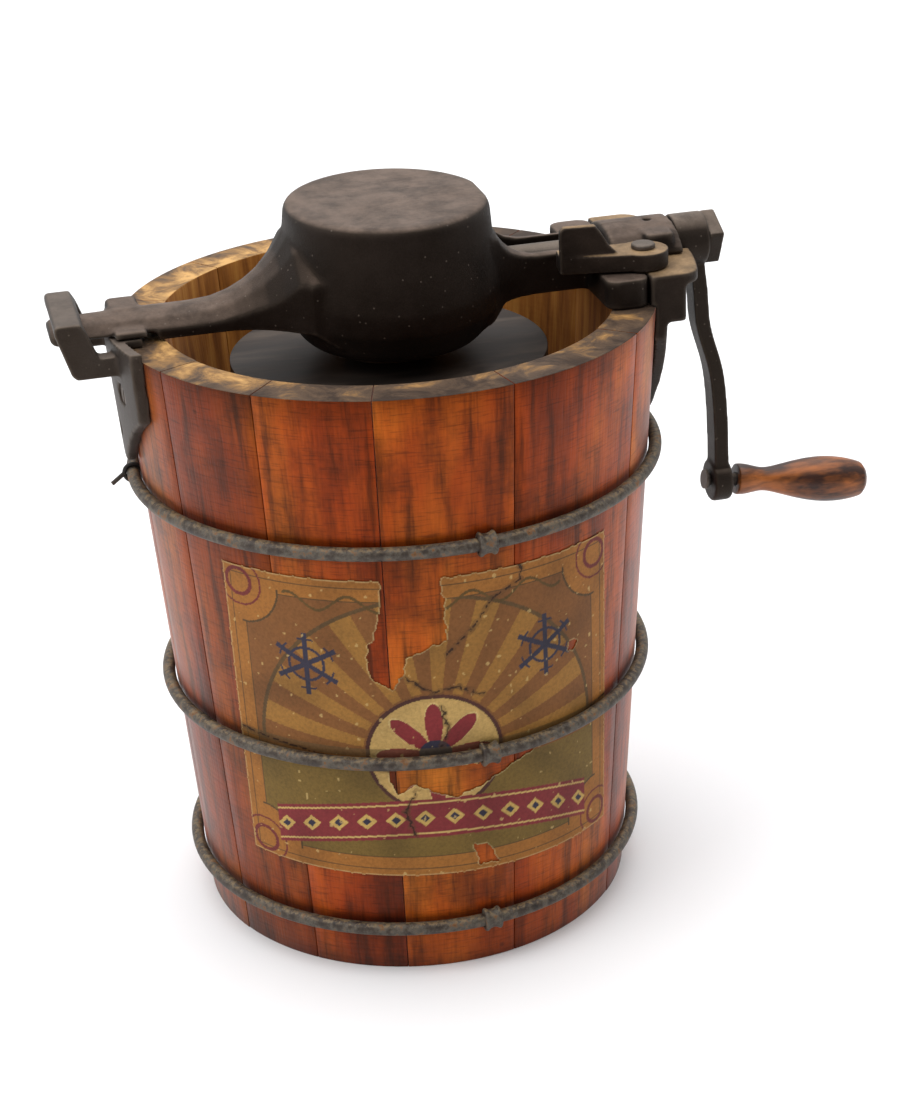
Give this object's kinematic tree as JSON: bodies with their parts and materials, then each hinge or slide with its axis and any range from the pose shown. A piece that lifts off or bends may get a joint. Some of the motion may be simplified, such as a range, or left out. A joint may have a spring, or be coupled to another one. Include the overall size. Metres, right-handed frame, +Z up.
{
  "type": "hand crank ice cream freezer",
  "caption": "Stave tub with wire hoops, a geared cast frame clamped over the rim, a side crank with wooden grip, and a sheet can with dasher inside.",
  "frame": {"origin": "centre of the tub's round foot, on the surface it stands on", "axes": "+Z up along the tub's axis, +X along the gear frame towards the crank, -Y the front with the label"},
  "size_m": [0.4132, 0.2664, 0.3605],
  "materials": {
    "stave_wood": "orange-brown varnish, worn at the rim",
    "floor_wood": "bare, stained by brine",
    "scraper_wood": "bare and smooth",
    "grip_wood": "dark varnish, worn through",
    "label_paper": "old printed paper, matt and torn",
    "hoop_wire": "dull galvanised wire with rust spots",
    "burnt_wire": "blackened soft wire",
    "tinplate": "dull grey tinned sheet",
    "cast_iron": "dark cast skin, dusty on top",
    "gear_iron": "cast, bare and greased",
    "tinned_iron": "tinned casting",
    "steel": "dull steel"
  },
  "bodies": {
    "tub": {"case_cover": "cast_iron", "cover_screws": "steel", "ear_left": "cast_iron", "ear_right": "cast_iron", "ear_screws": "steel", "floor_board_1": "floor_wood", "floor_board_2": "floor_wood", "floor_board_3": "floor_wood", "gear_frame": "cast_iron", "hoop_bottom": "hoop_wire", "hoop_clips": "hoop_wire", "hoop_middle": "hoop_wire", "hoop_tie": "burnt_wire", "hoop_top": "hoop_wire", "label": "label_paper", "latch_rivet": "steel", "pivot_seat": "cast_iron", "seat_screws": "steel", "stave_01": "stave_wood", "stave_02": "stave_wood", "stave_03": "stave_wood", "stave_04": "stave_wood", "stave_05": "stave_wood", "stave_06": "stave_wood", "stave_07": "stave_wood", "stave_08": "stave_wood", "stave_09": "stave_wood", "stave_10": "stave_wood", "stave_11": "stave_wood", "stave_12": "stave_wood", "stave_13": "stave_wood"},
    "crank": {"crank_shaft": "steel", "pinion": "gear_iron", "pinion_pin": "steel", "crank_arm": "cast_iron", "crank_nut": "steel", "grip_spindle": "steel"},
    "grip": {"grip": "grip_wood"},
    "can_gear": {"can_gear": "gear_iron"},
    "dasher_gear": {"dasher_gear": "gear_iron"},
    "can": {"can_wall": "tinplate", "can_bottom": "tinplate", "can_pivot": "tinned_iron", "can_lid": "tinplate", "lid_socket": "cast_iron", "lid_rivets": "steel"},
    "dasher": {"dasher_frame": "tinned_iron", "scraper_pins": "steel"},
    "scraper_left": {"scraper_left": "scraper_wood"},
    "scraper_right": {"scraper_right": "scraper_wood"},
    "wheel": {"beater_wheel": "tinned_iron"},
    "latch": {"latch_lever": "cast_iron"}
  },
  "joints": [
    {"name": "can_spin", "type": "hinge", "parent": "tub", "child": "can", "pos_m": [0, 0, 0.05], "axis": [0, 0, 1], "continuous": true},
    {"name": "can_gear_spin", "type": "hinge", "parent": "tub", "child": "can_gear", "pos_m": [0, 0, 0.3], "axis": [0, 0, 1], "continuous": true},
    {"name": "dasher_gear_spin", "type": "hinge", "parent": "tub", "child": "dasher_gear", "pos_m": [0, 0, 0.34], "axis": [0, 0, 1], "continuous": true},
    {"name": "dasher_spin", "type": "hinge", "parent": "tub", "child": "dasher", "pos_m": [0, 0, 0.06], "axis": [0, 0, 1], "continuous": true},
    {"name": "crank_spin", "type": "hinge", "parent": "tub", "child": "crank", "pos_m": [0, 0, 0.3227], "axis": [1, 0, 0], "continuous": true},
    {"name": "grip_spin", "type": "hinge", "parent": "crank", "child": "grip", "pos_m": [0.17005, 0, 0.1912], "axis": [0.9903, 0, -0.1392], "continuous": true},
    {"name": "wheel_spin", "type": "hinge", "parent": "dasher", "child": "wheel", "pos_m": [0, 0, 0.15], "axis": [0, 0, 1], "continuous": true},
    {"name": "scraper_right_swing", "type": "hinge", "parent": "dasher", "child": "scraper_right", "pos_m": [0.049, 0, 0.06], "axis": [0, 0, 1], "range_deg": [0, 45]},
    {"name": "scraper_left_swing", "type": "hinge", "parent": "dasher", "child": "scraper_left", "pos_m": [-0.049, 0, 0.06], "axis": [0, 0, 1], "range_deg": [0, 45]},
    {"name": "latch_swing", "type": "hinge", "parent": "tub", "child": "latch", "pos_m": [0.119, -0.034, 0.323], "axis": [0, 0, 1], "range_deg": [0, 95]}
  ],
  "couplings": [
    {"joint": "can_gear_spin", "follows": "can_spin", "ratio": 1},
    {"joint": "dasher_gear_spin", "follows": "can_spin", "ratio": -1},
    {"joint": "dasher_spin", "follows": "can_spin", "ratio": -1},
    {"joint": "crank_spin", "follows": "can_spin", "ratio": 2.3333}
  ]
}
